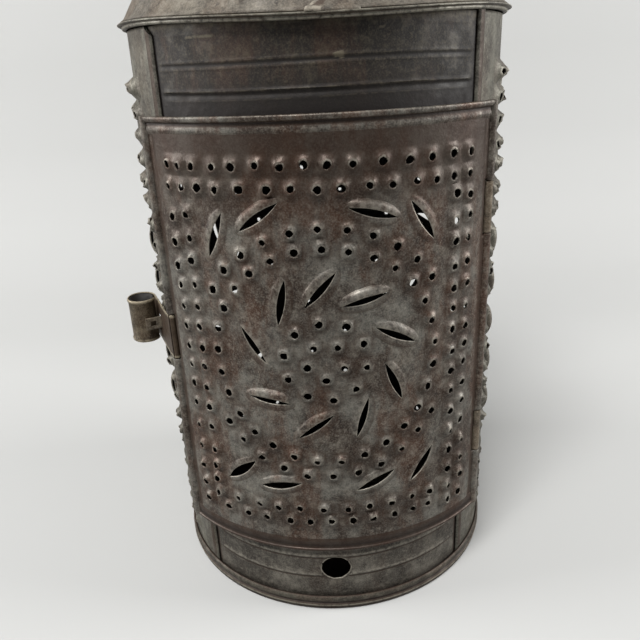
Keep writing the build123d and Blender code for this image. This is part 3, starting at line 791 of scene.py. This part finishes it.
roof = flat_sheet(-math.pi * ROOF_BASE, math.pi * ROOF_BASE, 0, ROOF_SLANT, 3.2, 1.7)
wear_and_highlight, _ = marks(roof)
for index in range(VENTS):
    vent = Matrix.Translation(((index - 2.5) / 3 * math.pi * ROOF_BASE, 0.74 * ROOF_SLANT, 0))
    loop = window(roof, vent, VENT_LONG, VENT_WIDE, 20, 0.6)
    for share, lift in ((0.62, 0.9), (0.42, 1.5)):
        points, loop = drawn_out(roof, loop)
        for vert in points:
            around = vent.inverted() @ vert.co
            turn = math.atan2(around.y / VENT_WIDE, around.x / VENT_LONG)
            across, along = VENT_LONG * share * math.cos(turn), VENT_WIDE * share * math.sin(turn)
            vert.co = vent @ Vector((across, along, lift))
            vert[wear_and_highlight] = share
for vert in roof.verts:
    vert.co.z += EDGE_RISE * math.exp(-(vert.co.y / EDGE_WIDE) ** 2)
    if vert.co.y < ROOF_SLANT / 2:
        vert.co.z += 0.12 * math.sin(vert.co.x / 17) * math.sin(vert.co.y / 23)
sagged(coned(roof))
bmesh.ops.remove_doubles(roof, verts=roof.verts, dist=0.001)
finish("roof_sheet", roof, "lantern_body", [roof_tin, smoked_shaded_tin], ["roof_cone"], SHEET)

# The lap over the roof's seam, its free edge lifted and cut to a slant at its foot
LAP_LEFT, LAP_RIGHT = -2.8, 13.8
LAP_SLANT, LAP_SLANT_HIGH = 6.4, 5.2
lap = flat_sheet(LAP_LEFT, LAP_RIGHT, -0.9, ROOF_SLANT - 4.2, 0.9, 1.2)
wear_and_highlight, grime_and_shade = marks(lap)
for vert in lap.verts:
    up = vert.co.y
    edge = LAP_LEFT + LAP_SLANT * clamped(up / LAP_SLANT_HIGH)
    share = (vert.co.x - LAP_LEFT) / (LAP_RIGHT - LAP_LEFT)
    vert.co.x = edge + (LAP_RIGHT - edge) * share
    lift = 0.75 * (1 - share) ** 2 + 0.05 * (share < 1) - 0.05 * share
    vert.co.z = lift + EDGE_RISE * math.exp(-(max(up, 0) / EDGE_WIDE) ** 2)
    vert[wear_and_highlight] = 0.9 if share < 0.08 or (up < 1.2 and share < 0.3) else 0
    # The dark strip just inside the lifted free edge is painted shadow.
    vert[grime_and_shade] = 0.5 if 0.1 < share < 0.25 and up > 1.5 else 0
sagged(coned(lap))
finish("roof_lap", lap, "lantern_body", [roof_tin], thickness=0.4, offset=0.0)

# Roof cap: a flat top with a rolled shoulder, and a skirt with a rolled foot
CAP_SECTION = (
    (0, ROOF_TOP + 0.1), (13.8, ROOF_TOP + 0.1), (14.4, ROOF_TOP - 0.6), (14.5, 330.8), (15.0, 330.5),
    (15.3, 330.9), (15.1, 331.4), (15.05, 334.6), (14.7, 335.2), (14.0, CAP_TOP), (0, CAP_TOP))
finish("roof_cap_tin", spun(CAP_SECTION, 0, 360, 64, closed=False), "lantern_body", [roof_tin],
       ["roof_cap"], sharp=40)

# Ring handle: a wide strap bent to a ring, its two edges turned over
RING_SECTION = (
    (36.2, -7.6), (36.15, -8.0), (36.6, -8.0), (37.0, -7.8), (37.0, -6.9), (36.75, -6.5), (36.75, 6.5),
    (37.0, 6.9), (37.0, 7.8), (36.6, 8.0), (36.15, 8.0), (36.2, 7.6), (36.3, 6.5), (36.3, -6.5))
ring = bmesh.new()
verts = [ring.verts.new((radius, along, RING_MIDDLE)) for radius, along in RING_SECTION]
edges = [ring.edges.new(pair) for pair in zip(verts, verts[1:] + verts[:1])]
bmesh.ops.spin(ring, geom=verts + edges, cent=(0, 0, RING_MIDDLE), axis=(0, 1, 0), angle=math.tau, steps=96,
               use_merge=True)
bmesh.ops.remove_doubles(ring, verts=ring.verts, dist=0.001)
bmesh.ops.recalc_face_normals(ring, faces=ring.faces)
finish("ring_handle_tin", ring, "lantern_body", [roof_tin], ["ring_handle"], sharp=40)

# Hasp: a strip looped round the latch wire, slotted, its end curled to a finger grip, its long edges hemmed.
# It is made with x along it from the wire and y outwards
LOOP_RADIUS = 1.38
GRIP = (26, 6.88)
GRIP_RADIUS = 5.5
LINING_RADIUS = 4.9
HASP_TURN = math.radians(115)
# The strip's section from its foot up: height, rise and wear
HASP_HEMS = ((0, 0, 0.9), (0.3, 0.3, 1), (0.9, 0.34, 0.8), (1.4, 0, 0), (5.95, 0, 0), (12.55, 0, 0),
             (17.1, 0, 0), (17.6, 0.34, 0.8), (18.2, 0.3, 1), (18.5, 0, 0.9))


def arc_of(middle, radius, turns):
    """Points of an arc in plan, at turns in degrees."""
    angles = [math.radians(turn) for turn in turns]
    return [(middle[0] + radius * math.cos(angle), middle[1] + radius * math.sin(angle)) for angle in angles]


loop_part = arc_of((0, 0), LOOP_RADIUS, range(-230, 91, 20))
straight_part = [(x, LOOP_RADIUS) for x in (4, 8, 12, 15.5, 18.5, 21.5, 24)]
route = loop_part + straight_part + arc_of(GRIP, GRIP_RADIUS, range(-90, 240, 12))
grip_start = len(loop_part) + len(straight_part)
hem_start = len(loop_part) + 3
hasp = bmesh.new()
wear_and_highlight, grime_and_shade = marks(hasp)
points = [hasp.verts.new((x, y, 0)) for x, y in route]
strip = [hasp.edges.new(pair) for pair in zip(points, points[1:])]
for up, rise, worn_and_lit in HASP_HEMS:
    if up > 0:
        points, strip = drawn_out(hasp, strip)
    for vert in points:
        nearest = min(range(len(route)), key=lambda index: math.dist(route[index], vert.co.xy))
        spot = Vector(route[nearest])
        if nearest >= grip_start:
            spot += (spot - Vector(GRIP)).normalized() * rise
        elif nearest >= hem_start:
            spot.y -= rise
        vert.co = (spot.x, spot.y, HASP_LOW + up)
        vert[wear_and_highlight] = worn_and_lit
        vert[grime_and_shade] = 0.5 if nearest < grip_start and not worn_and_lit else 0.1
middles = {face: face.calc_center_median() for face in hasp.faces}
slot = [face for face, spot in middles.items()
        if 15.5 < spot.x < 21.5 and spot.y < 2 and HASP_LOW + 6 < spot.z < HASP_LOW + 12]
bmesh.ops.delete(hasp, geom=slot, context="FACES")
# A dark lining inside the grip, just off its inner face: painted shade inside the curl
curl = [hasp.verts.new((x, y, HASP_LOW + 0.3)) for x, y in arc_of(GRIP, LINING_RADIUS, range(-80, 226, 10))]
curl_edges = [hasp.edges.new(pair) for pair in zip(curl, curl[1:])]
shade_lining = bmesh.ops.extrude_edge_only(hasp, edges=curl_edges)["geom"]
bmesh.ops.translate(hasp, vec=(0, 0, 17.9), verts=only(BMVert, shade_lining))
for face in only(BMFace, shade_lining):
    face.material_index = 1
# Turned to where it lies, and lifted a little towards the grip
heading = Vector((math.cos(HASP_TURN), math.sin(HASP_TURN)))
outward = Vector((-heading.y, heading.x))
for vert in hasp.verts:
    vert.co.z += 0.9 * max(0.0, vert.co.x - 4) / 23
    spot = heading * vert.co.x + outward * vert.co.y + Vector((-WIRE[0], WIRE[1]))
    vert.co = (spot.x, spot.y, vert.co.z)
bmesh.ops.recalc_face_normals(hasp, faces=hasp.faces)
finish("hasp_strip", hasp, "hasp_arm", [hasp_tin, smoked_shaded_tin], ["hasp"], SHEET, offset=0.0,
       inside=0)

# Frame pieces that keep their shape
for node, coat in (("ring_saddle", roof_tin), ("door_hinge_wire", iron_wire), ("door_latch_wire", iron_wire),
                   ("hinge_strap_upper", strap_tin), ("hinge_strap_lower", strap_tin),
                   ("hasp_staple", strap_tin), ("drip_pan", inner_tin), ("candle_socket", inner_tin)):
    piece = frame["nodes"][node]
    piece.data.materials.clear()
    piece.data.materials.append(coat)


# Stage, lights and camera

def backdrop_paper():
    """Matt pale paper, which throws back less light on the tin than it looks, as in a wide dim room."""
    material = bpy.data.materials.new("Matt pale paper")
    material.use_nodes = True
    tree = material.node_tree
    shader = tree.nodes["Principled BSDF"]
    seen = add(tree, "ShaderNodeLightPath").outputs["Is Camera Ray"]
    tone = add(tree, "ShaderNodeMix", {"data_type": "RGBA", 6: linear("9a9a98"), 7: linear("bebebc")},
               {0: seen})
    tree.links.new(tone.outputs[2], shader.inputs["Base Color"])
    shader.inputs["Roughness"].default_value = 0.9
    shader.inputs["Specular IOR Level"].default_value = 0.2
    return material


# The paper's sweep, drawn from its side: flat under the lantern, then up behind it
PAPER_HALF = 1500
PAPER_SWEEP = ((-900, 0), (260, 0), (340, 6), (410, 30), (460, 75), (490, 140), (500, 230), (500, 1200))
paper = bmesh.new()
verts = [paper.verts.new((-PAPER_HALF, y, z)) for y, z in PAPER_SWEEP]
edges = [paper.edges.new(pair) for pair in zip(verts, verts[1:])]
far_side, _ = drawn_out(paper, edges)
bmesh.ops.translate(paper, vec=(2 * PAPER_HALF, 0, 0), verts=far_side)
bmesh.ops.scale(paper, vec=(MM, MM, MM), verts=paper.verts)
bmesh.ops.recalc_face_normals(paper, faces=paper.faces)
paper_mesh = bpy.data.meshes.new("backdrop")
for face in paper.faces:
    face.smooth = True
paper.to_mesh(paper_mesh)
paper.free()
paper_mesh.materials.append(backdrop_paper())
backdrop = bpy.data.objects.new("backdrop", paper_mesh)
bpy.context.scene.collection.objects.link(backdrop)

world = bpy.data.worlds.new("Soft room light")
bpy.context.scene.world = world
world.use_nodes = True
air = world.node_tree.nodes["Background"]
air.inputs["Color"].default_value = linear("f4f6f8")
air.inputs["Strength"].default_value = 0.23


def lamp(name, place, aim, size, power):
    """A soft rectangular lamp that looks at a point."""
    light = bpy.data.lights.new(name, "AREA")
    light.shape = "RECTANGLE"
    light.size, light.size_y = size
    light.energy = power
    thing = bpy.data.objects.new(name, light)
    thing.location = place
    thing.rotation_euler = (Vector(aim) - Vector(place)).to_track_quat("-Z", "Y").to_euler()
    bpy.context.scene.collection.objects.link(thing)


# Places, aims and sizes in metres, power in watts
lamp("overhead softbox", (-0.22, -0.5, 1.05), (0, 0, 0.1), (0.35, 0.35), 10.5)
lamp("left window", (-0.9, -0.05, 0.5), (0, 0, 0.12), (0.4, 0.6), 6.8)
lamp("right window", (0.9, -0.05, 0.5), (0, 0, 0.12), (0.4, 0.6), 7.8)

# The camera as fitted to the photo's straight and round edges
FOCAL_PIXELS, PHOTO_PIXELS = 630.2, 640
SENSOR = 36
EYE = (0, -0.2795, 0.2156)
camera = bpy.data.cameras.new("camera")
camera.sensor_width = SENSOR
camera.lens = FOCAL_PIXELS / PHOTO_PIXELS * SENSOR
camera.clip_start = 0.01
eye = bpy.data.objects.new("camera", camera)
pitch, yaw, roll = (math.radians(angle) for angle in (21.73, -0.69, -2.76))
forward = Vector((math.sin(yaw) * math.cos(pitch), math.cos(yaw) * math.cos(pitch), -math.sin(pitch)))
level = Vector((math.cos(yaw), -math.sin(yaw), 0))
above = level.cross(forward)
right = level * math.cos(roll) + above * math.sin(roll)
top = above * math.cos(roll) - level * math.sin(roll)
eye.matrix_world = Matrix.Translation(EYE) @ Matrix((right, top, -forward)).transposed().to_4x4()
bpy.context.scene.collection.objects.link(eye)
bpy.context.scene.camera = eye
bpy.context.scene.view_settings.view_transform = "Standard"
